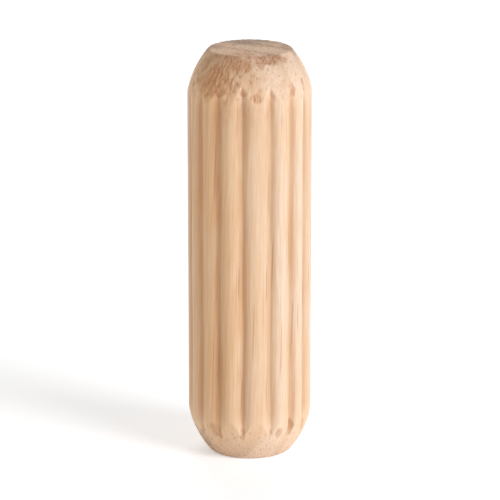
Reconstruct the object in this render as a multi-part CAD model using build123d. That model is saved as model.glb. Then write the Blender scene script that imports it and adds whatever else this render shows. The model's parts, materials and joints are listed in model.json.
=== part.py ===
"""Fluted wooden dowel pin: one piece of rod, fluted along its length and rounded over at both ends.

The pin stands on its lower end. The origin is the centre of that end face, and +Z runs along the pin's axis.
All lengths are in millimetres and all angles in degrees.
"""

import math
import os
from itertools import accumulate

from build123d import *

# The rod
PIN_DIAMETER = 9.525  # over the crests of the ribs: 3/8 inch
PIN_LENGTH = 31.75  # from end face to end face: 1 1/4 inch
ROD_ALLOWANCE = 0.1  # what the plain rod has on its radius before the flutes are pressed

# The rounded ends, which lead the pin into its hole
END_FACE_DIAMETER = 6.3  # where the sawn face would meet the rounding in a sharp rim
END_RADIUS = 7.0  # of the arc from the rim up to the side of the plain rod
RIM_RADIUS = 0.3  # takes the sharpness off that rim

# The flutes, which let air and glue out of the hole
FLUTE_DEPTH = 0.3  # from the crests to the root
FLUTE_ANGLE = 70.0  # between the two flanks
FLUTE_ROOT_RADIUS = 0.1
CREST_EDGE_RADIUS = 0.3  # where a flank rounds over onto the crest of a rib
FIRST_FLUTE_ANGLE = -97.5  # anticlockwise from +X, seen from above

# Distance from each flute to the next, going round anticlockwise, as shares of the mean distance.
# Pressing leaves the ribs a little uneven.
FLUTE_PITCH_SHARES = (
    1.15, 0.98, 0.83, 0.97, 1.02,
    0.96, 1.05, 1.00, 1.03, 1.06,
    0.98, 1.04, 0.99, 0.94, 1.00,
)

# How far a cutting shape stands out of the material that it cuts
CUT_OVERRUN = 0.5

PIN_RADIUS = PIN_DIAMETER / 2
END_FACE_RADIUS = END_FACE_DIAMETER / 2


def turned_blank() -> Part:
    """The plain rod with its rounded ends: half of its outline, turned about the axis."""
    rod_radius = PIN_RADIUS + ROD_ALLOWANCE
    arc_centre_x = rod_radius - END_RADIUS
    arc_angle = math.degrees(math.acos((END_FACE_RADIUS - arc_centre_x) / END_RADIUS))
    shoulder_z = END_RADIUS * math.sin(math.radians(arc_angle))
    upper_shoulder_z = PIN_LENGTH - shoulder_z

    outline = [
        Line((0, 0), (END_FACE_RADIUS, 0)),
        CenterArc((arc_centre_x, shoulder_z), END_RADIUS, -arc_angle, arc_angle),
        Line((rod_radius, shoulder_z), (rod_radius, upper_shoulder_z)),
        CenterArc((arc_centre_x, upper_shoulder_z), END_RADIUS, 0, arc_angle),
        Line((END_FACE_RADIUS, PIN_LENGTH), (0, PIN_LENGTH)),
        Line((0, PIN_LENGTH), (0, 0)),
    ]
    half_outline = make_face(outline)
    # Going outwards, the corners lie on the axis, on the two rims and on the shank.
    rims = half_outline.vertices().group_by(Axis.X)[1]
    half_outline = fillet(rims, RIM_RADIUS)
    return revolve(Plane.XZ * half_outline, Axis.Z)


def flute_section() -> Sketch:
    """One V flute with a round root, opening outwards along +X."""
    flank_angle = math.radians(FLUTE_ANGLE / 2)
    root_centre_x = PIN_RADIUS - FLUTE_DEPTH + FLUTE_ROOT_RADIUS
    apex_x = root_centre_x - FLUTE_ROOT_RADIUS / math.sin(flank_angle)
    mouth_x = PIN_RADIUS + CUT_OVERRUN
    mouth_y = (mouth_x - apex_x) * math.tan(flank_angle)

    vee = make_face(Polyline((apex_x, 0), (mouth_x, -mouth_y), (mouth_x, mouth_y), close=True))
    apex = vee.vertices().sort_by(Axis.X)[0]
    return fillet(apex, FLUTE_ROOT_RADIUS)


def flute_angles() -> list[float]:
    """The direction of each flute from the first one, in uneven steps that close the circle."""
    steps_so_far = accumulate(FLUTE_PITCH_SHARES, initial=0)
    mean_step = 360 / sum(FLUTE_PITCH_SHARES)
    return [mean_step * steps for steps in steps_so_far][:-1]


def fluted_section() -> Sketch:
    """The rod's cross-section: the crest circle with every flute taken out and the crests' edges rounded."""
    section = Circle(PIN_RADIUS)
    flute = flute_section()
    section -= [Rot(Z=angle) * flute for angle in flute_angles()]
    crest_edges = section.vertices().filter_by(lambda v: math.isclose(math.hypot(v.X, v.Y), PIN_RADIUS))
    section = fillet(crest_edges, CREST_EDGE_RADIUS)
    return Rot(Z=FIRST_FLUTE_ANGLE) * section


def dowel_pin() -> Part:
    """The whole pin: the fluted rod where it lies inside the turned blank, so the flutes run out on the ends."""
    fluted_rod = extrude(fluted_section(), PIN_LENGTH + 2 * CUT_OVERRUN)
    return turned_blank() & Pos(Z=-CUT_OVERRUN) * fluted_rod


os.makedirs("parts", exist_ok=True)
export_step(dowel_pin(), "parts/dowel_pin.step")
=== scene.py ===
"""A fluted dowel pin in bare rubberwood, standing on its sawn lower end.

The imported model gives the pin's place, length and crest radius. The visual pin is turned from a half-outline
and pressed with the same flutes. Its ribs are crowned, its faces sawn, its fibres raised and its ends torn,
as on the real one. Modelling is in millimetres, and the finished mesh is scaled to metres.
"""

import json
import logging
import math
from bisect import bisect_right
from collections.abc import Iterable, Iterator, Mapping
from dataclasses import dataclass
from enum import Enum
from functools import cached_property
from itertools import accumulate

import bmesh
import bpy
from mathutils import Euler, Matrix, Vector, noise


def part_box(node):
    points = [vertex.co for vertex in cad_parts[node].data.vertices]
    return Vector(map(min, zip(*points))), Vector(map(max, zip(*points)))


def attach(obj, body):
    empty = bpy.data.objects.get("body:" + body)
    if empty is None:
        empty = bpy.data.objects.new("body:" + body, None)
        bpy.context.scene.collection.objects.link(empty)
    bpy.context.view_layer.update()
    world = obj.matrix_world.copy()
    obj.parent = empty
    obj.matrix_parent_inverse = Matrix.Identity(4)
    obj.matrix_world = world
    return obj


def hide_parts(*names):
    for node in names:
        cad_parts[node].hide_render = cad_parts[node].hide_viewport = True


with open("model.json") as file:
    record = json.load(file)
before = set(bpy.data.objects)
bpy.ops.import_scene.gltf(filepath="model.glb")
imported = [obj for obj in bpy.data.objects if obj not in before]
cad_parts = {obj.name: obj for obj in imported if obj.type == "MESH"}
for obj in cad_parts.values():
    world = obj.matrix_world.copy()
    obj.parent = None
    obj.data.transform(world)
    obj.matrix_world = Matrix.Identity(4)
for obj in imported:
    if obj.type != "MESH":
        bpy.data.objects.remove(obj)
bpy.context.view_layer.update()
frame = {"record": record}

LOG = logging.getLogger("dowel_pin")
MM = 0.001
NODE = "dowel_pin"
BODY = "root"
PIN_MOUNT = "upper_pin"

NodeTree = bpy.types.NodeTree
Socket = bpy.types.NodeSocket

# Sockets of Blender's Mix node when it mixes colours
MIX_A = 6
MIX_B = 7
MIX_RESULT = 2

# Nearly all values of Blender's Noise Texture node lie between these two
NOISE_LOW = 0.28
NOISE_HIGH = 0.72

# How much of a marked place shows where the pattern that breaks it up is lowest and highest
BROKEN_LEAST = 0.45
BROKEN_MOST = 1.2


class Mark(Enum):
    """What the mesh tells the wood about each point of the surface, as the name of a vertex attribute."""

    GROOVE = "groove"
    END_GRAIN = "end_grain"
    TORN = "torn"
    GREYED = "soiled"


class Blend(Enum):
    """How a tint lies on what is below it."""

    COVER = "MIX"
    STAIN = "MULTIPLY"


class End(Enum):
    """The two ends of the pin."""

    LOWER = "lower"
    UPPER = "upper"


def linear(hex_colour: str) -> tuple[float, float, float, float]:
    """Turns an sRGB colour into linear light.

    Args:
        hex_colour: Six hexadecimal digits, such as "F3D3AE".

    Returns:
        Red, green, blue and a full alpha.
    """
    channels = [int(hex_colour[i : i + 2], 16) / 255 for i in (0, 2, 4)]
    lit = [c / 12.92 if c <= 0.04045 else ((c + 0.055) / 1.055) ** 2.4 for c in channels]
    return (*lit, 1.0)


def add_node(
    tree: NodeTree,
    kind: str,
    inputs: Mapping[int | str, object] | None = None,
    **settings: object,
) -> bpy.types.Node:
    """Adds one node to a tree.

    Args:
        tree: The node tree of a material or a world.
        kind: The node's type, such as "ShaderNodeMix".
        inputs: What goes into each input, by name or number: another node's output, or a value.
        settings: The node's own properties.

    Returns:
        The new node.
    """
    node = tree.nodes.new(kind)
    for name, value in settings.items():
        setattr(node, name, value)
    for socket, value in (inputs or {}).items():
        if isinstance(value, Socket):
            tree.links.new(value, node.inputs[socket])
        else:
            node.inputs[socket].default_value = value
    return node


def smoothstep(low: float, high: float, value: float) -> float:
    """Rises smoothly from 0 at low to 1 at high."""
    share = min(max((value - low) / (high - low), 0.0), 1.0)
    return share * share * (3 - 2 * share)


def smooth_min(a: float, b: float, width: float) -> float:
    """The smaller of two lengths, with the corner between them rounded over a width."""
    overlap = max(width - abs(a - b), 0.0) / width
    return min(a, b) - overlap * overlap * width / 4


@dataclass(frozen=True)
class Streak:
    """A pattern of fibre bundles: its octaves, and its size across and along the fibres, in millimetres."""

    across: float
    along: float
    octaves: float = 2.0


@dataclass(frozen=True)
class Tint:
    """A colour, and how strongly it shows where its pattern is full."""

    colour: str
    strength: float = 1.0
    blend: Blend = Blend.COVER


@dataclass(frozen=True)
class RubberwoodColours:
    """The colours of bare rubberwood, which is a pale peach with browner pores and end grain."""

    side: str = "FCEEE2"
    cloud: Tint = Tint("F3D2AF", 0.72)
    late_ring: Tint = Tint("EAC49D", 0.4)
    fibre: Tint = Tint("E8C199", 0.55)
    fine_fibre: Tint = Tint("DFB488", 0.5)
    # Browner wood towards the pith, which also paints a warm shade on the pin's front left
    heart_and_warm_shade: Tint = Tint("FFEED3", 1.0, Blend.STAIN)
    vessel: Tint = Tint("B0703C", 0.4)
    # Darker roots of the flutes: the pressed fibres, and painted shade in the hollows
    pressed_and_shade: Tint = Tint("D6BE9F", 0.6, Blend.STAIN)
    end: str = "E6CAB2"
    end_speck: Tint = Tint("BD9B82", 0.7)
    ray: Tint = Tint("E8CBB0", 0.4)
    end_ring: Tint = Tint("A57F63", 0.4)
    pore: Tint = Tint("84593A", 0.75)
    torn: Tint = Tint("B06C36", 1.0)
    # A grey darkening round the rim of the upper face, on its chip and at the lower left
    greying: Tint = Tint("6A5D54", 0.67)


@dataclass(frozen=True)
class RubberwoodGrain:
    """The sizes of the grain's patterns, in millimetres.

    A single fibre is about 0.02 mm wide, too fine to show, so fibres are drawn as bundles.
    """

    fibre: Streak = Streak(0.2, 10.0, 3.0)
    fine_fibre: Streak = Streak(0.075, 3.5)
    cloud: Streak = Streak(2.6, 8.0)
    speck: Streak = Streak(0.16, 0.16)
    tear: Streak = Streak(0.14, 0.5, 3.0)
    wander: Streak = Streak(2.5, 12.0, 1.0)
    wander_by: float = 0.18
    ring: float = 2.3
    # Where late wood begins and where it is full, as shares of a year's growth
    late_growth: tuple[float, float] = (0.5, 0.9)
    # The middle of the tree, as a place beside the pin's axis
    pith: tuple[float, float] = (-34.0, -47.0)
    # How far from the pith the wood is brownest, and how far it is pale; as the pith lies to the front left,
    # this also paints a warm shade on that side of the pin
    heart_and_warm_shade: tuple[float, float] = (52.5, 55.5)
    vessel_spacing: float = 0.42
    vessel_radius: float = 0.055
    # Where a vessel's dark begins to fade and where it ends, as shares of its radius
    vessel_edge: tuple[float, float] = (0.6, 1.3)
    # Outwards from the pith, across that and along the fibres
    ray: tuple[float, float, float] = (1.6, 0.07, 0.5)
    # The values of the noise at which a ray begins and is full
    ray_edge: tuple[float, float] = (0.5, 0.68)


@dataclass(frozen=True)
class WoodPatterns:
    """Where each pattern of the wood shows, as sockets that run from 0 to 1."""

    fibre: Socket
    fine_fibre: Socket
    cloud: Socket
    speck: Socket
    rings: Socket
    heart_and_warm_shade: Socket
    vessels: Socket
    rays: Socket
    groove: Socket
    end_grain: Socket
    torn: Socket
    greying: Socket


@dataclass(frozen=True)
class Rubberwood:
    """Bare rubberwood, turned, pressed and left unsanded.

    To the eye it is matt and pale, streaked along the fibres, with fine brown vessel lines on the sides that
    become open pores on the darker, rougher end grain.
    """

    colours: RubberwoodColours = RubberwoodColours()
    grain: RubberwoodGrain = RubberwoodGrain()
    # How the fibres are turned off the pin's axis, about X, Y and Z
    lean: tuple[float, float, float] = (math.radians(1.3), math.radians(1.8), 0.0)
    ior: float = 1.5
    side_roughness: float = 0.48
    end_roughness: float = 0.85
    fibre_height: float = 0.012
    fine_fibre_height: float = 0.007
    vessel_depth: float = 0.006
    end_grain_height: float = 0.04
    torn_depth: float = 0.04

    def grain_axis(self) -> Vector:
        """The direction of the fibres, which lean a little off the pin's axis."""
        return Euler(self.lean).to_matrix() @ Vector((0, 0, 1))

    def material(self) -> bpy.types.Material:
        """Builds the material.

        Returns:
            The material, which reads Object coordinates and the pin's own marks.
        """
        made = bpy.data.materials.new("rubberwood_pressed")
        made.use_nodes = True
        tree = made.node_tree
        tree.nodes.clear()
        patterns = self._patterns(tree)
        roughness = add_node(
            tree,
            "ShaderNodeMapRange",
            {"Value": patterns.end_grain, "To Min": self.side_roughness, "To Max": self.end_roughness},
        )
        shader = add_node(
            tree,
            "ShaderNodeBsdfPrincipled",
            {
                "Base Color": self._colour(tree, patterns),
                "Roughness": roughness.outputs["Result"],
                "IOR": self.ior,
                "Normal": self._relief(tree, patterns),
            },
        )
        add_node(tree, "ShaderNodeOutputMaterial", {"Surface": shader.outputs["BSDF"]})
        return made

    def _patterns(self, tree: NodeTree) -> WoodPatterns:
        """Draws every pattern of the wood in the space of its grain.

        Args:
            tree: The material's node tree.

        Returns:
            The patterns, with the marks that the mesh carries.
        """
        grain = self.grain
        straight, strayed = self._grain_space(tree)
        from_pith = self._from_pith(tree, strayed)
        speck = self._streaks(tree, straight, grain.speck)
        tufts = self._streaks(tree, straight, grain.tear)
        marks = {
            mark: add_node(tree, "ShaderNodeAttribute", attribute_name=mark.value).outputs["Fac"]
            for mark in Mark
        }
        return WoodPatterns(
            fibre=self._streaks(tree, strayed, grain.fibre),
            fine_fibre=self._streaks(tree, strayed, grain.fine_fibre),
            cloud=self._streaks(tree, strayed, grain.cloud),
            speck=speck,
            rings=self._rings(tree, from_pith),
            heart_and_warm_shade=self._heart_and_warm_shade(tree, from_pith),
            vessels=self._vessels(tree, strayed),
            rays=self._rays(tree, strayed),
            groove=marks[Mark.GROOVE],
            end_grain=marks[Mark.END_GRAIN],
            torn=self._broken_up(tree, marks[Mark.TORN], tufts),
            greying=self._broken_up(tree, marks[Mark.GREYED], speck),
        )

    def _grain_space(self, tree: NodeTree) -> tuple[Socket, Socket]:
        """Measures places in the wood in millimetres, with the third axis along the fibres.

        Args:
            tree: The material's node tree.

        Returns:
            The place as if the fibres were straight, and the place as they wander.
        """
        wander = self.grain.wander
        place = add_node(tree, "ShaderNodeTexCoord").outputs["Object"]
        straight = add_node(
            tree,
            "ShaderNodeMapping",
            {"Vector": place, "Scale": (MM,) * 3, "Rotation": self.lean},
            vector_type="TEXTURE",
        ).outputs["Vector"]
        stretched = add_node(
            tree,
            "ShaderNodeMapping",
            {"Vector": straight, "Scale": (wander.across, wander.across, wander.along)},
            vector_type="TEXTURE",
        )
        drift = add_node(
            tree,
            "ShaderNodeTexNoise",
            {"Vector": stretched.outputs["Vector"], "Scale": 1.0, "Detail": wander.octaves},
        )
        centred = add_node(
            tree,
            "ShaderNodeVectorMath",
            {0: drift.outputs["Color"], 1: (0.5, 0.5, 0.5)},
            operation="SUBTRACT",
        )
        strayed = add_node(
            tree,
            "ShaderNodeVectorMath",
            {0: centred.outputs["Vector"], 1: (self.grain.wander_by, self.grain.wander_by, 0.0), 2: straight},
            operation="MULTIPLY_ADD",
        )
        return straight, strayed.outputs["Vector"]

    @staticmethod
    def _streaks(tree: NodeTree, space: Socket, streak: Streak) -> Socket:
        """Draws one pattern of fibre bundles.

        Args:
            tree: The material's node tree.
            space: The place in the wood.
            streak: The size of the bundles.

        Returns:
            The pattern, spread over the whole range from 0 to 1.
        """
        stretched = add_node(
            tree,
            "ShaderNodeMapping",
            {"Vector": space, "Scale": (streak.across, streak.across, streak.along)},
            vector_type="TEXTURE",
        )
        bundles = add_node(
            tree,
            "ShaderNodeTexNoise",
            {"Vector": stretched.outputs["Vector"], "Scale": 1.0, "Detail": streak.octaves},
        )
        spread = {"Value": bundles.outputs["Fac"], "From Min": NOISE_LOW, "From Max": NOISE_HIGH}
        return add_node(tree, "ShaderNodeMapRange", spread).outputs["Result"]

    def _from_pith(self, tree: NodeTree, space: Socket) -> Socket:
        """Measures how far a place lies from the middle of the tree.

        Args:
            tree: The material's node tree.
            space: The place in the wood.

        Returns:
            The distance, in millimetres.
        """
        pith = add_node(
            tree,
            "ShaderNodeVectorMath",
            {0: space, 1: (*self.grain.pith, 0.0)},
            operation="SUBTRACT",
        )
        level = add_node(
            tree,
            "ShaderNodeVectorMath",
            {0: pith.outputs["Vector"], 1: (1.0, 1.0, 0.0)},
            operation="MULTIPLY",
        )
        return add_node(
            tree, "ShaderNodeVectorMath", {0: level.outputs["Vector"]}, operation="LENGTH"
        ).outputs["Value"]

    def _heart_and_warm_shade(self, tree: NodeTree, from_pith: Socket) -> Socket:
        """Picks out the side towards the pith, which is a little browner, and which also paints a warm shade
        on the pin's front left.

        Args:
            tree: The material's node tree.
            from_pith: The distance from the pith.

        Returns:
            The pattern, 1 where the wood is brownest.
        """
        brown, pale = self.grain.heart_and_warm_shade
        fade = {"Value": from_pith, "From Min": brown, "From Max": pale, "To Min": 1.0, "To Max": 0.0}
        return add_node(tree, "ShaderNodeMapRange", fade, interpolation_type="SMOOTHSTEP").outputs["Result"]

    def _rings(self, tree: NodeTree, from_pith: Socket) -> Socket:
        """Draws the growth rings.

        Args:
            tree: The material's node tree.
            from_pith: The distance from the pith.

        Returns:
            The pattern, 0 in the early wood and rising to 1 near the end of each year's growth.
        """
        years = add_node(tree, "ShaderNodeMath", {0: from_pith, 1: self.grain.ring}, operation="DIVIDE")
        season = add_node(tree, "ShaderNodeMath", {0: years.outputs["Value"]}, operation="FRACT")
        begins, full = self.grain.late_growth
        rise = {"Value": season.outputs["Value"], "From Min": begins, "From Max": full}
        fall = {"Value": season.outputs["Value"], "From Min": 1.0, "From Max": full}
        late = add_node(tree, "ShaderNodeMapRange", rise, interpolation_type="SMOOTHSTEP").outputs["Result"]
        stop = add_node(tree, "ShaderNodeMapRange", fall, interpolation_type="SMOOTHSTEP").outputs["Result"]
        return add_node(tree, "ShaderNodeMath", {0: late, 1: stop}, operation="MULTIPLY").outputs["Value"]

    def _vessels(self, tree: NodeTree, space: Socket) -> Socket:
        """Draws the vessels, tubes that are dots on the end grain, and lines where the side cuts into them.

        Args:
            tree: The material's node tree.
            space: The place in the wood.

        Returns:
            The pattern, up to 1 inside a vessel.
        """
        spacing = self.grain.vessel_spacing
        radius_share = self.grain.vessel_radius / spacing
        dark_to, pale_from = (share * radius_share for share in self.grain.vessel_edge)
        cells = add_node(
            tree,
            "ShaderNodeTexVoronoi",
            {"Vector": space, "Scale": 1 / spacing, "Randomness": 1.0},
            voronoi_dimensions="2D",
        )
        inside = add_node(
            tree,
            "ShaderNodeMapRange",
            {
                "Value": cells.outputs["Distance"],
                "From Min": dark_to,
                "From Max": pale_from,
                "To Min": 1.0,
                "To Max": 0.0,
            },
            interpolation_type="SMOOTHSTEP",
        )
        chance = add_node(tree, "ShaderNodeSeparateColor", {"Color": cells.outputs["Color"]})
        return add_node(
            tree,
            "ShaderNodeMath",
            {0: inside.outputs["Result"], 1: chance.outputs["Red"]},
            operation="MULTIPLY",
        ).outputs["Value"]

    def _rays(self, tree: NodeTree, space: Socket) -> Socket:
        """Draws the rays, fine pale lines that run outwards from the pith.

        Args:
            tree: The material's node tree.
            space: The place in the wood.

        Returns:
            The pattern, 1 inside a ray.
        """
        pith_x, pith_y = self.grain.pith
        turned = add_node(
            tree,
            "ShaderNodeMapping",
            {"Vector": space, "Rotation": (0.0, 0.0, math.atan2(pith_y, pith_x)), "Scale": self.grain.ray},
            vector_type="TEXTURE",
        )
        lines = add_node(
            tree,
            "ShaderNodeTexNoise",
            {"Vector": turned.outputs["Vector"], "Scale": 1.0, "Detail": 1.0},
        )
        begins, full = self.grain.ray_edge
        pale = {"Value": lines.outputs["Fac"], "From Min": begins, "From Max": full}
        return add_node(tree, "ShaderNodeMapRange", pale).outputs["Result"]

    @staticmethod
    def _broken_up(tree: NodeTree, mark: Socket, pattern: Socket) -> Socket:
        """Breaks the places that the mesh marks up into tufts or specks.

        Args:
            tree: The material's node tree.
            mark: The mesh's mark.
            pattern: The tufts or specks, from 0 to 1.

        Returns:
            The marked places, thinned where the pattern is low.
        """
        thinned = add_node(
            tree, "ShaderNodeMapRange", {"Value": pattern, "To Min": BROKEN_LEAST, "To Max": BROKEN_MOST}
        )
        return add_node(
            tree,
            "ShaderNodeMath",
            {0: mark, 1: thinned.outputs["Result"]},
            operation="MULTIPLY",
            use_clamp=True,
        ).outputs["Value"]

    @staticmethod
    def _laid(
        tree: NodeTree, ground: Socket | tuple[float, ...], tints: Iterable[tuple[Tint, Socket]]
    ) -> Socket:
        """Lays tints over a ground colour, each where its pattern shows.

        Args:
            tree: The material's node tree.
            ground: The colour below all the tints.
            tints: Each tint with its pattern, from the lowest up.

        Returns:
            The colour with every tint on it.
        """
        below = ground
        for tint, pattern in tints:
            share = add_node(tree, "ShaderNodeMath", {0: pattern, 1: tint.strength}, operation="MULTIPLY")
            below = add_node(
                tree,
                "ShaderNodeMix",
                {"Factor": share.outputs["Value"], MIX_A: below, MIX_B: linear(tint.colour)},
                data_type="RGBA",
                blend_type=tint.blend.value,
            ).outputs[MIX_RESULT]
        return below

    def _colour(self, tree: NodeTree, patterns: WoodPatterns) -> Socket:
        """Mixes the wood's colour: side grain, with painted shade in the flutes' roots, and end grain, with
        the browner heart, which also paints a warm shade on the pin's front left, and the torn and greyed
        places over both.

        Args:
            tree: The material's node tree.
            patterns: Where each tint shows.

        Returns:
            The colour.
        """
        colours = self.colours
        side_tints = (
            (colours.cloud, patterns.cloud),
            (colours.late_ring, patterns.rings),
            (colours.fibre, patterns.fibre),
            (colours.fine_fibre, patterns.fine_fibre),
            (colours.vessel, patterns.vessels),
            # Painted shade in the flutes' roots, with the darker pressed fibres
            (colours.pressed_and_shade, patterns.groove),
        )
        end_tints = (
            (colours.end_speck, patterns.speck),
            (colours.ray, patterns.rays),
            (colours.end_ring, patterns.rings),
            (colours.pore, patterns.vessels),
        )
        both = add_node(
            tree,
            "ShaderNodeMix",
            {
                "Factor": patterns.end_grain,
                MIX_A: self._laid(tree, linear(colours.side), side_tints),
                MIX_B: self._laid(tree, linear(colours.end), end_tints),
            },
            data_type="RGBA",
        ).outputs[MIX_RESULT]
        # The browner side towards the pith also paints a warm shade on the pin's front left
        over_both = (
            (colours.heart_and_warm_shade, patterns.heart_and_warm_shade),
            (colours.torn, patterns.torn),
            (colours.greying, patterns.greying),
        )
        return self._laid(tree, both, over_both)

    def _relief(self, tree: NodeTree, patterns: WoodPatterns) -> Socket:
        """Adds the relief too fine for the mesh: fibres, vessels, and rough end grain and torn places.

        Args:
            tree: The material's node tree.
            patterns: Where each kind of relief shows.

        Returns:
            The surface's normal.
        """
        rough_end = add_node(
            tree, "ShaderNodeMath", {0: patterns.speck, 1: patterns.end_grain}, operation="MULTIPLY"
        )
        heights = (
            (patterns.fibre, self.fibre_height),
            (patterns.fine_fibre, self.fine_fibre_height),
            (rough_end.outputs["Value"], self.end_grain_height),
            (patterns.vessels, -self.vessel_depth),
            (patterns.torn, -self.torn_depth),
        )
        below = {}
        for pattern, height in heights:
            inputs = {"Height": pattern, "Distance": abs(height) * MM, **below}
            bump = add_node(tree, "ShaderNodeBump", inputs, invert=height < 0)
            below = {"Normal": bump.outputs["Normal"]}
        return below["Normal"]


@dataclass(frozen=True)
class RoundedEnds:
    """The rounding of both ends: a flat sawn face, a soft rim and one arc up to the rod, in millimetres."""

    face_radius: float = 3.15
    arc_radius: float = 7.0
    rim_radius: float = 0.3
    rod_allowance: float = 0.1

    def arc_height(self, rod_radius: float) -> float:
        """How far from the end the arc reaches the side of the rod."""
        return math.sqrt(self.arc_radius**2 - (self.face_radius - rod_radius + self.arc_radius) ** 2)

    def height_at(self, radius: float, rod_radius: float) -> float:
        """How far from the end the arc reaches a radius."""
        aside = radius - rod_radius + self.arc_radius
        return self.arc_height(rod_radius) - math.sqrt(self.arc_radius**2 - aside**2)


@dataclass(frozen=True)
class Flutes:
    """The pressed flutes and the crowned ribs between them, in millimetres and degrees."""

    depth: float = 0.34
    root_radius: float = 0.05
    crown: float = 2.2
    first_angle: float = -97.5
    pitch_shares: tuple[float, ...] = (
        1.15, 0.98, 0.83, 0.97, 1.02,
        0.96, 1.05, 1.00, 1.03, 1.06,
        0.98, 1.04, 0.99, 0.94, 1.00,
    )
    stray: float = 0.11
    stray_length: float = 7.0
    depth_stray_share: float = 0.3
    depth_stray_length: float = 5.0
    # Steps through the noise from one flute to the next, and the plane of it that the depths are read from
    stray_step: float = 7.3
    depth_step: float = 3.7
    depth_plane: float = 5.0

    @cached_property
    def turns(self) -> list[float]:
        """The direction of each flute from the first one, and of the first one again, in radians."""
        mean_step = math.tau / sum(self.pitch_shares)
        return [mean_step * steps for steps in accumulate(self.pitch_shares, initial=0)]

    def directions(self) -> list[float]:
        """The direction of each flute from +X, in radians."""
        return [math.radians(self.first_angle) + turn for turn in self.turns[:-1]]

    def depth_at(self, angle: float, height: float, radius: float) -> float:
        """How far the surface lies below the crests.

        Args:
            angle: The direction of a point on the pin, in radians from +X.
            height: The point's height.
            radius: The crest radius, on which the ribs' width is measured.

        Returns:
            The depth: nothing on the crest of a rib, and the flutes' depth at their roots.
        """
        turn = (angle - math.radians(self.first_angle)) % math.tau
        before = min(bisect_right(self.turns, turn), len(self.pitch_shares)) - 1
        after = before + 1
        from_before = abs(radius * (turn - self.turns[before]) - self._stray_at(before, height))
        from_after = abs(radius * (self.turns[after] - turn) + self._stray_at(after, height))
        share = from_before / (from_before + from_after)
        depth = (1 - share) * self._root_depth(before, height) + share * self._root_depth(after, height)
        from_root = math.hypot(min(from_before, from_after), self.root_radius) - self.root_radius
        half_pitch = (from_before + from_after) / 2
        return depth * max(1 - from_root / half_pitch, 0.0) ** self.crown

    def _stray_at(self, index: int, height: float) -> float:
        """How far one flute strays sideways at a height."""
        which = index % len(self.pitch_shares)
        return self.stray * noise.noise(Vector((self.stray_step * which, height / self.stray_length, 0.0)))

    def _root_depth(self, index: int, height: float) -> float:
        """Tells how deep one flute is pressed at a height.

        Args:
            index: The flute's number, counted from the first one.
            height: The height on the pin.

        Returns:
            The depth of the flute's root.
        """
        which = index % len(self.pitch_shares)
        along = height / self.depth_stray_length
        change = noise.noise(Vector((self.depth_step * which, along, self.depth_plane)))
        return self.depth * (1 + self.depth_stray_share * change)


@dataclass(frozen=True)
class SawMarks:
    """The shallow arcs that a circular saw leaves across an end face, in millimetres and degrees."""

    feed_angle: float
    blade_radius: float = 60.0
    pitch: float = 0.5
    depth: float = 0.025
    patchy_share: float = 0.4

    def depth_at(self, place: Vector) -> float:
        """Tells how deep the saw has gone into the face.

        Args:
            place: A point of the face.

        Returns:
            The depth there.
        """
        feed = math.radians(self.feed_angle)
        from_hub = math.hypot(
            place.x + self.blade_radius * math.cos(feed), place.y + self.blade_radius * math.sin(feed)
        )
        shake = noise.noise(Vector((from_hub / self.pitch / 2, 0.0, feed)))
        wave = (1 + math.sin(math.tau * (from_hub / self.pitch + shake / 2))) / 2
        patchy = 1 - self.patchy_share + self.patchy_share * noise.noise(Vector((place.x, place.y, feed)))
        return self.depth * wave * patchy


@dataclass(frozen=True)
class RaisedGrain:
    """The relief of the bare wood that the mesh carries, in millimetres."""

    fibre_width: float = 0.3
    fibre_length: float = 8.0
    fibre_depth: float = 0.018
    end_grit: float = 0.22
    end_depth: float = 0.03
    tuft_width: float = 0.26
    tuft_length: float = 0.9
    # How much is torn out on average, how far that varies, and how far it varies within finer tufts
    tuft_mean: float = 0.45
    tuft_change: float = 0.6
    fine_tuft_change: float = 0.35
    fine_tuft_scale: float = 2.3

    def fibre_depth_at(self, place: Vector) -> float:
        """Tells how far the side of the pin lies below its highest fibres.

        Args:
            place: A point of the side.

        Returns:
            The depth there.
        """
        width = self.fibre_width
        ridge = noise.noise(Vector((place.x / width, place.y / width, place.z / self.fibre_length)))
        return self.fibre_depth * (1 + ridge) / 2

    def end_depth_at(self, place: Vector) -> float:
        """How far the surface lies below the cut ends of the highest fibres."""
        return self.end_depth * (1 + noise.noise(place / self.end_grit)) / 2

    def tuft_share_at(self, place: Vector) -> float:
        """Tells how much of a torn place's full depth is torn out.

        Args:
            place: A point of the torn place.

        Returns:
            The share, from 0 on a standing tuft to 1 between tufts.
        """
        width = self.tuft_width
        tuft = Vector((place.x / width, place.y / width, place.z / self.tuft_length))
        coarse = self.tuft_change * noise.noise(tuft)
        fine = self.fine_tuft_change * noise.noise(self.fine_tuft_scale * tuft)
        return min(max(self.tuft_mean + coarse + fine, 0.0), 1.0)


@dataclass(frozen=True)
class Blemish:
    """A torn, crushed, stained or greyed place near one end.

    The angle is in degrees anticlockwise from +X, seen from above, so -90 faces the camera. The rest is in
    millimetres, apart from the brown stain and the grey darkening, which are 1 at their darkest, the share by
    which the edge is ragged, and the share of the way out to the edge over which the blemish is full.
    """

    end: End
    angle: float
    radius: float
    from_end: float
    half_width: float
    half_height: float
    stain: float = 0.0
    greying: float = 0.0
    depth: float = 0.0
    ragged_share: float = 0.5
    full_share: float = 0.35
    grit: float = 0.5

    @cached_property
    def centre(self) -> Vector:
        """The middle of the place, as a point beside the pin's axis."""
        turn = math.radians(self.angle)
        return Vector((self.radius * math.cos(turn), self.radius * math.sin(turn), self.from_end))

    def share_at(self, place: Vector, from_end: float) -> float:
        """Tells how much of the blemish a point has.

        Args:
            place: The point.
            from_end: How far it lies from the blemish's end of the pin.

        Returns:
            The share, from 0 outside the ragged edge to 1 well inside.
        """
        aside = math.hypot(place.x - self.centre.x, place.y - self.centre.y) / self.half_width
        reach = math.hypot(aside, (from_end - self.from_end) / self.half_height)
        if reach > 1 + self.ragged_share:
            return 0.0
        reach += self.ragged_share * noise.noise(place / self.grit)
        return 1 - smoothstep(self.full_share, 1.0, reach)


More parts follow.
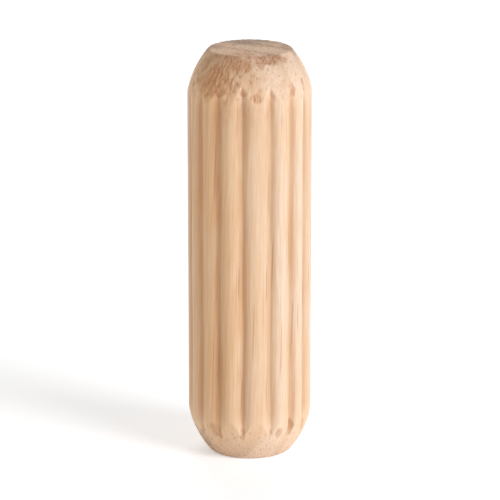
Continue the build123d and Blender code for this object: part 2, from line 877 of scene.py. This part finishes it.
@dataclass(frozen=True)
class FluteTips:
    """The crushed, darker fibres where each flute runs out on a rounded end, in millimetres."""

    half_width: float = 0.25
    half_height: float = 0.7
    stain: float = 0.9
    depth: float = 0.12
    # The values of the noise at which a tip is unharmed and fully harmed, and where each tip reads it
    harm_range: tuple[float, float] = (-0.8, 0.5)
    harm_step: float = 2.7
    upper_row: float = 1.9
    lower_row: float = 8.3
    harm_plane: float = 0.4

    def blemish(self, end: End, which: int, direction: float, radius: float, from_end: float) -> Blemish:
        """Makes the blemish at the tip of one flute, which is worse on some flutes than on others.

        Args:
            end: The end of the pin.
            which: The flute's number.
            direction: The flute's direction from +X, in radians.
            radius: The radius at the flute's root.
            from_end: How far from the end the root runs out.

        Returns:
            The blemish.
        """
        row = self.upper_row if end is End.UPPER else self.lower_row
        luck = noise.noise(Vector((self.harm_step * which, row, self.harm_plane)))
        harm = smoothstep(*self.harm_range, luck)
        return Blemish(
            end,
            angle=math.degrees(direction),
            radius=radius,
            from_end=from_end + self.half_height / 3,
            half_width=self.half_width,
            half_height=self.half_height,
            stain=self.stain * harm,
            depth=self.depth * harm,
        )


# The upper end is torn over the left of its rounding, browned at the front, chipped on the right of its rim
# # and greyed darker round the back of its rim, and the tips of its flutes are bruised. The lower end has a
# torn
# # tip at the left, two at the right and a greyed, darker left.
BLEMISHES = (
    Blemish(End.UPPER, -126.0, 4.2, 1.8, half_width=2.9, half_height=2.0, stain=0.82, depth=0.11),
    Blemish(End.UPPER, -107.0, 3.5, 0.5, half_width=2.9, half_height=1.0, stain=0.75, depth=0.06),
    Blemish(End.UPPER, -100.0, 4.6, 2.8, half_width=3.8, half_height=4.0, stain=0.22),
    Blemish(End.UPPER, -58.0, 4.5, 2.4, half_width=1.0, half_height=1.2, stain=0.32),
    Blemish(End.UPPER, -62.0, 3.3, 0.25, half_width=1.6, half_height=0.5, stain=0.9, greying=0.3, depth=0.15),
    Blemish(End.UPPER, -84.0, 4.5, 2.8, half_width=0.6, half_height=0.7, stain=0.8, depth=0.08),
    Blemish(End.UPPER, -68.0, 4.4, 2.6, half_width=0.35, half_height=0.7, stain=0.7, depth=0.06),
    Blemish(End.UPPER, -46.0, 4.4, 2.5, half_width=0.4, half_height=0.7, stain=0.8, depth=0.06),
    Blemish(End.UPPER, 90.0, 3.3, 0.15, half_width=3.8, half_height=0.7, greying=1.0, ragged_share=0.25),
    Blemish(End.UPPER, 8.0, 3.2, 0.15, half_width=1.7, half_height=0.5, greying=0.75, ragged_share=0.25),
    Blemish(End.UPPER, 166.0, 3.2, 0.15, half_width=1.8, half_height=0.5, greying=0.75, ragged_share=0.25),
    Blemish(End.LOWER, -127.0, 4.5, 2.7, half_width=0.6, half_height=0.9, stain=0.55, depth=0.05),
    Blemish(End.LOWER, -61.0, 4.4, 2.4, half_width=0.5, half_height=0.6, stain=0.6, depth=0.06),
    Blemish(End.LOWER, -48.0, 4.5, 2.8, half_width=0.55, half_height=0.8, stain=0.8, depth=0.08),
    Blemish(End.LOWER, -155.0, 4.0, 1.2, half_width=1.8, half_height=1.3, stain=0.4, greying=0.4, depth=0.05),
)


@dataclass
class DowelPin:
    """The pin itself: turned, pressed with flutes, sawn off and tumbled. Its sizes are in millimetres."""

    radius: float
    length: float
    grain_axis: Vector
    ends: RoundedEnds = RoundedEnds()
    flutes: Flutes = Flutes()
    tips: FluteTips = FluteTips()
    raised: RaisedGrain = RaisedGrain()
    lower_saw: SawMarks = SawMarks(feed_angle=100.0)
    upper_saw: SawMarks = SawMarks(feed_angle=25.0)
    blemishes: tuple[Blemish, ...] = BLEMISHES
    steps_round: int = 480
    face_cuts: int = 21
    rim_steps: int = 4
    arc_steps: int = 54
    half_shank_cuts: int = 13
    run_out_softness: float = 0.01
    merge_distance: float = 3e-5
    # How far the surface's normal lies along the fibres where end grain begins to show, and where it is full
    end_grain_range: tuple[float, float] = (0.18, 0.88)
    # How much of its stain a torn place keeps where a tuft still stands
    tuft_stain: float = 0.45

    @property
    def rod_radius(self) -> float:
        """The radius of the plain rod, on which the ends are rounded."""
        return self.radius + self.ends.rod_allowance

    def build(self) -> bpy.types.Object:
        """Models the pin.

        Returns:
            The pin's object, at the origin, with its marks as vertex attributes.
        """
        bm = bmesh.new()
        for mark in Mark:
            bm.verts.layers.float.new(mark.value)
        self._draw_outline(bm)
        self._turn(bm)
        self._press_flutes(bm)
        self._mark_end_grain(bm)
        self._roughen(bm)
        bmesh.ops.scale(bm, vec=(MM,) * 3, verts=bm.verts)
        for face in bm.faces:
            face.smooth = True
        mesh = bpy.data.meshes.new("fluted_pin")
        bm.to_mesh(mesh)
        bm.free()
        made = bpy.data.objects.new("fluted_pin", mesh)
        bpy.context.scene.collection.objects.link(made)
        return made

    def dress(self, made: bpy.types.Object, wood: Rubberwood) -> None:
        """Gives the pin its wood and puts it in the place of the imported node.

        Args:
            made: The pin's object.
            wood: The wood.
        """
        made.data.materials.append(wood.material())
        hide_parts(NODE)
        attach(made, BODY)

    def _draw_outline(self, bm: bmesh.types.BMesh) -> None:
        """Draws the lower half of the pin's outline beside its axis, mirrors it up and sets it on its foot.

        Args:
            bm: An empty mesh.
        """
        ends = self.ends
        foot_z = -self.length / 2
        arc_x = self.rod_radius - ends.arc_radius
        arc_height = ends.arc_height(self.rod_radius)
        inner_radius = ends.arc_radius - ends.rim_radius
        rim_angle = math.asin((arc_height - ends.rim_radius) / inner_radius)
        rim_x = arc_x + inner_radius * math.cos(rim_angle)

        face_edge = bm.verts.new((rim_x, 0, foot_z))
        flat = bm.edges.new((bm.verts.new((0, 0, foot_z)), face_edge))
        rim_centre = (rim_x, 0, foot_z + ends.rim_radius)
        rim = self._draw_arc(bm, face_edge, rim_centre, math.pi / 2 - rim_angle, self.rim_steps)
        arc_centre = (arc_x, 0, foot_z + arc_height)
        shoulder = self._draw_arc(bm, rim, arc_centre, rim_angle, self.arc_steps)
        shank = bm.edges.new((shoulder, bm.verts.new((self.rod_radius, 0, 0))))
        bmesh.ops.subdivide_edges(bm, edges=[flat], cuts=self.face_cuts)
        bmesh.ops.subdivide_edges(bm, edges=[shank], cuts=self.half_shank_cuts)
        outline = bm.verts[:] + bm.edges[:]
        bmesh.ops.mirror(bm, geom=outline, matrix=Matrix(), merge_dist=self.merge_distance, axis="Z")
        bmesh.ops.translate(bm, vec=(0, 0, -foot_z), verts=bm.verts)

    @staticmethod
    def _draw_arc(
        bm: bmesh.types.BMesh,
        start: bmesh.types.BMVert,
        centre: tuple[float, float, float],
        angle: float,
        steps: int,
    ) -> bmesh.types.BMVert:
        """Spins a point up along an arc beside the pin's axis.

        Args:
            bm: The mesh with the point.
            start: The point.
            centre: The arc's centre.
            angle: The arc's angle, in radians.
            steps: How many edges the arc has.

        Returns:
            The arc's last point.
        """
        spun = bmesh.ops.spin(bm, geom=[start], cent=centre, axis=(0, -1, 0), angle=angle, steps=steps)
        return next(part for part in spun["geom_last"] if isinstance(part, bmesh.types.BMVert))

    def _turn(self, bm: bmesh.types.BMesh) -> None:
        """Turns the outline about the pin's axis into the closed blank.

        Args:
            bm: The mesh with the outline.
        """
        bmesh.ops.spin(
            bm,
            geom=bm.verts[:] + bm.edges[:],
            cent=(0, 0, 0),
            axis=(0, 0, 1),
            angle=math.tau,
            steps=self.steps_round,
            use_merge=True,
        )
        bmesh.ops.remove_doubles(bm, verts=bm.verts[:], dist=self.merge_distance)
        bmesh.ops.recalc_face_normals(bm, faces=bm.faces[:])

    def _press_flutes(self, bm: bmesh.types.BMesh) -> None:
        """Presses the flutes into the blank, so that they run out on the rounded ends, and marks their roots.

        Args:
            bm: The blank.
        """
        groove = bm.verts.layers.float[Mark.GROOVE.value]
        for vert in bm.verts:
            blank = math.hypot(vert.co.x, vert.co.y)
            if blank < self.ends.face_radius:
                continue
            angle = math.atan2(vert.co.y, vert.co.x)
            depth = self.flutes.depth_at(angle, vert.co.z, self.radius)
            pressed = smooth_min(blank, self.radius - depth, self.run_out_softness)
            vert.co.x *= pressed / blank
            vert.co.y *= pressed / blank
            # The groove mark is where the wood's colour paints shade into the flutes' roots, with the pressed
            # fibres
            vert[groove] = min((blank - pressed) / self.flutes.depth, 1.0) ** 2

    def _mark_end_grain(self, bm: bmesh.types.BMesh) -> None:
        """Marks how squarely each point of the surface cuts across the fibres.

        Args:
            bm: The pressed pin.
        """
        end_grain = bm.verts.layers.float[Mark.END_GRAIN.value]
        bm.normal_update()
        for vert in bm.verts:
            vert[end_grain] = smoothstep(*self.end_grain_range, abs(vert.normal.dot(self.grain_axis)))

    def _roughen(self, bm: bmesh.types.BMesh) -> None:
        """Saws the faces, raises the grain and tears the ends, always inwards, and marks stains and greying.

        Args:
            bm: The pressed pin, with its end grain marked.
        """
        end_grain = bm.verts.layers.float[Mark.END_GRAIN.value]
        torn = bm.verts.layers.float[Mark.TORN.value]
        soiled = bm.verts.layers.float[Mark.GREYED.value]
        blemishes = [*self.blemishes, *self._tip_blemishes()]
        for vert in bm.verts:
            place = vert.co.copy()
            upper = place.z > self.length / 2
            end = End.UPPER if upper else End.LOWER
            saw = self.upper_saw if upper else self.lower_saw
            from_end = self.length - place.z if upper else place.z
            on_face = 1 - smoothstep(0.0, self.ends.rim_radius, from_end)
            across = vert[end_grain]
            sunk = on_face * saw.depth_at(place)
            sunk += (1 - across) * self.raised.fibre_depth_at(place)
            sunk += (across - across * on_face) * self.raised.end_depth_at(place)
            if from_end < self.ends.arc_radius:
                shares = [(b.share_at(place, from_end), b) for b in blemishes if b.end is end]
                tuft = self.raised.tuft_share_at(place)
                kept = self.tuft_stain + (1 - self.tuft_stain) * tuft
                vert[torn] = max(share * b.stain for share, b in shares) * kept
                vert[soiled] = max(share * b.greying for share, b in shares)
                sunk += max(share * b.depth for share, b in shares) * tuft
            vert.co -= vert.normal * sunk

    def _tip_blemishes(self) -> Iterator[Blemish]:
        """Finds the crushed fibres at both tips of every flute.

        Yields:
            The blemish at each tip.
        """
        root = self.radius - self.flutes.depth
        from_end = self.ends.height_at(root, self.rod_radius)
        for which, direction in enumerate(self.flutes.directions()):
            for end in End:
                yield self.tips.blemish(end, which, direction, root, from_end)


@dataclass(frozen=True)
class Lamp:
    """A soft lamp a long way off, with its directions in radians.

    Its strength is the light that it gives to a surface that faces it. Its azimuth is 0 on the camera's side
    of the pin and grows to the right.
    """

    name: str
    strength: float
    azimuth: float
    elevation: float
    angle: float

    @property
    def on_floor(self) -> float:
        """The light that the lamp gives to a level floor."""
        return self.strength * math.sin(self.elevation)

    def hang(self) -> None:
        """Puts the lamp into the scene."""
        lamp = bpy.data.lights.new(self.name, "SUN")
        lamp.energy = self.strength * math.pi
        lamp.angle = self.angle
        hung = bpy.data.objects.new(self.name, lamp)
        across = math.cos(self.elevation)
        towards = Vector((
            math.sin(self.azimuth) * across,
            -math.cos(self.azimuth) * across,
            math.sin(self.elevation),
        ))
        hung.rotation_euler = towards.to_track_quat("Z", "Y").to_euler()
        bpy.context.scene.collection.objects.link(hung)


@dataclass
class Studio:
    """The plain floor, the soft light and the camera, in metres."""

    subject_height: float
    subject_depth: float
    elevation: float = math.radians(16.0)
    camera_distance: float = 0.25
    frame_share: float = 0.84
    sensor_width: float = 36.0
    floor_size: float = 4.0
    floor_colour: str = "F8F8F8"
    floor_white: float = 1.1
    # How strongly the floor's glow lights the pin from below, a painted bounce light that the pin's shadow
    # doesn't cut
    floor_bounce_glow: float = 0.5
    sky_left: tuple[float, float, float] = (0.42, 0.32, 0.195)
    sky_right: tuple[float, float, float] = (0.315, 0.335, 0.37)
    lamps: tuple[Lamp, ...] = (
        Lamp("key", 0.645, math.radians(54.0), math.radians(25.0), math.radians(30.0)),
        Lamp("back", 0.28, math.radians(178.0), math.radians(32.0), math.radians(40.0)),
    )

    def build(self) -> None:
        """Builds the floor, the light and the camera."""
        self._lay_floor()
        self._light()
        self._place_camera()

    def _lay_floor(self) -> None:
        """Lays a wide pale floor at the pin's foot, white to the camera apart from the pin's shadow."""
        bm = bmesh.new()
        bmesh.ops.create_grid(bm, x_segments=1, y_segments=1, size=self.floor_size / 2)
        mesh = bpy.data.meshes.new("floor")
        bm.to_mesh(mesh)
        bm.free()
        floor = bpy.data.objects.new("floor", mesh)
        bpy.context.scene.collection.objects.link(floor)
        floor.data.materials.append(self._floor_paint())

    def _floor_paint(self) -> bpy.types.Material:
        """Makes matt pale paint, with a glow that is full only for what looks at the floor, to make it white,
        and that at a lower strength lights the pin from below as a painted bounce light.

        Returns:
            The material.
        """
        paint = bpy.data.materials.new("floor_matt_paint")
        paint.use_nodes = True
        tree = paint.node_tree
        tree.nodes.clear()
        colour = linear(self.floor_colour)
        matt = add_node(tree, "ShaderNodeBsdfDiffuse", {"Color": colour})
        lamps = sum(lamp.on_floor for lamp in self.lamps)
        sky = [(left + right) / 2 for left, right in zip(self.sky_left, self.sky_right)]
        lift = [self.floor_white - share * (light + lamps) for share, light in zip(colour, sky)]
        shown = add_node(tree, "ShaderNodeMapRange", {"Value": self._seen(tree), "To Min": self.floor_bounce_glow})
        glow = add_node(
            tree, "ShaderNodeEmission", {"Color": (*lift, 1.0), "Strength": shown.outputs["Result"]}
        )
        both = add_node(tree, "ShaderNodeAddShader", {0: matt.outputs["BSDF"], 1: glow.outputs["Emission"]})
        add_node(tree, "ShaderNodeOutputMaterial", {"Surface": both.outputs["Shader"]})
        return paint

    @staticmethod
    def _seen(tree: NodeTree) -> Socket:
        """Tells what looks at a surface from what is lit by it.

        Args:
            tree: The node tree of the floor's paint or of the world.

        Returns:
            1 for camera, glossy and transmission rays, and 0 for light on the pin.
        """
        path = add_node(tree, "ShaderNodeLightPath").outputs
        shiny = add_node(
            tree,
            "ShaderNodeMath",
            {0: path["Is Glossy Ray"], 1: path["Is Transmission Ray"]},
            operation="MAXIMUM",
        )
        return add_node(
            tree, "ShaderNodeMath", {0: path["Is Camera Ray"], 1: shiny.outputs["Value"]}, operation="MAXIMUM"
        ).outputs["Value"]

    def _light(self) -> None:
        """Lights the pin from all round, with a warmer left, and with the lamps."""
        world = bpy.data.worlds.new("studio")
        bpy.context.scene.world = world
        world.use_nodes = True
        tree = world.node_tree
        tree.nodes.clear()
        direction = add_node(tree, "ShaderNodeTexCoord").outputs["Generated"]
        sideways = add_node(tree, "ShaderNodeSeparateXYZ", {"Vector": direction})
        rightness = add_node(tree, "ShaderNodeMapRange", {"Value": sideways.outputs["X"], "From Min": -1.0})
        sky = add_node(
            tree,
            "ShaderNodeMix",
            {
                "Factor": rightness.outputs["Result"],
                MIX_A: (*self.sky_left, 1.0),
                MIX_B: (*self.sky_right, 1.0),
            },
            data_type="RGBA",
        )
        white = (1.0, 1.0, 1.0, 1.0)
        shown = add_node(
            tree,
            "ShaderNodeMix",
            {"Factor": self._seen(tree), MIX_A: sky.outputs[MIX_RESULT], MIX_B: white},
            data_type="RGBA",
        )
        light = add_node(tree, "ShaderNodeBackground", {"Color": shown.outputs[MIX_RESULT]})
        add_node(tree, "ShaderNodeOutputWorld", {"Surface": light.outputs["Background"]})
        for lamp in self.lamps:
            lamp.hang()

    def _place_camera(self) -> None:
        """Looks slightly down on the pin from the front, as close as the photograph's perspective."""
        seen_height = (
            self.subject_height * math.cos(self.elevation) + self.subject_depth * math.sin(self.elevation)
        )
        data = bpy.data.cameras.new("camera")
        data.sensor_width = self.sensor_width
        data.lens = self.sensor_width * self.camera_distance * self.frame_share / seen_height
        data.clip_start = self.camera_distance / 10
        camera = bpy.data.objects.new("camera", data)
        back = Vector((0, -math.cos(self.elevation), math.sin(self.elevation)))
        camera.location = Vector((0, 0, self.subject_height / 2)) + back * self.camera_distance
        camera.rotation_euler = back.to_track_quat("Z", "Y").to_euler()
        bpy.context.scene.collection.objects.link(camera)
        bpy.context.scene.camera = camera


def crest_radius() -> float:
    """The radius over the crests of the ribs, in millimetres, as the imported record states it."""
    mounts = {mount["name"]: mount for mount in frame["record"]["mounts"]}
    return mounts[PIN_MOUNT]["dims"]["r_mm"]


def main() -> None:
    """Builds the pin and the studio round it."""
    logging.basicConfig(level=logging.INFO, format="%(name)s: %(message)s")
    bpy.context.scene.view_settings.view_transform = "Standard"
    low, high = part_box(NODE)
    wood = Rubberwood()
    pin = DowelPin(radius=crest_radius(), length=(high.z - low.z) / MM, grain_axis=wood.grain_axis())
    made = pin.build()
    pin.dress(made, wood)
    LOG.info("%s: %d faces", made.name, len(made.data.polygons))
    studio = Studio(subject_height=high.z - low.z, subject_depth=2 * pin.ends.face_radius * MM)
    studio.build()
    LOG.info("studio: lens %.0f mm", bpy.context.scene.camera.data.lens)


if __name__ == "__main__":
    main()
